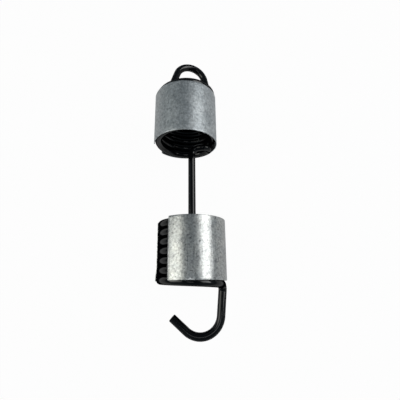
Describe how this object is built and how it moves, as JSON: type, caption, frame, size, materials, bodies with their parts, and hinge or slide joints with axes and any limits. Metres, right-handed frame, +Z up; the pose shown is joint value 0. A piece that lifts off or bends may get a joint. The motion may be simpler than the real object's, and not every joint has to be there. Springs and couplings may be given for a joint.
{
  "type": "brake shoe return spring",
  "caption": "Drum brake return spring of black wire: close coils clipped in split zinc sleeves, joined by a straight shank, with an open hook at one end and a round loop at the other.",
  "frame": {"origin": "middle of the part's length and width, on the surface that it lies on", "axes": "+Y along the coils from the hook to the loop, +Z up from the surface it lies on, +X across, towards the side where the hook and the loop leave their coils"},
  "size_m": [0.0379, 0.1558, 0.035],
  "materials": {
    "black_wire": "black gloss paint",
    "zinc_sheet": "zinc plated, with fine lengthwise rolling marks"
  },
  "bodies": {
    "root": {"spring_wire": "black_wire", "lower_sleeve": "zinc_sheet", "upper_sleeve": "zinc_sheet"}
  },
  "joints": []
}
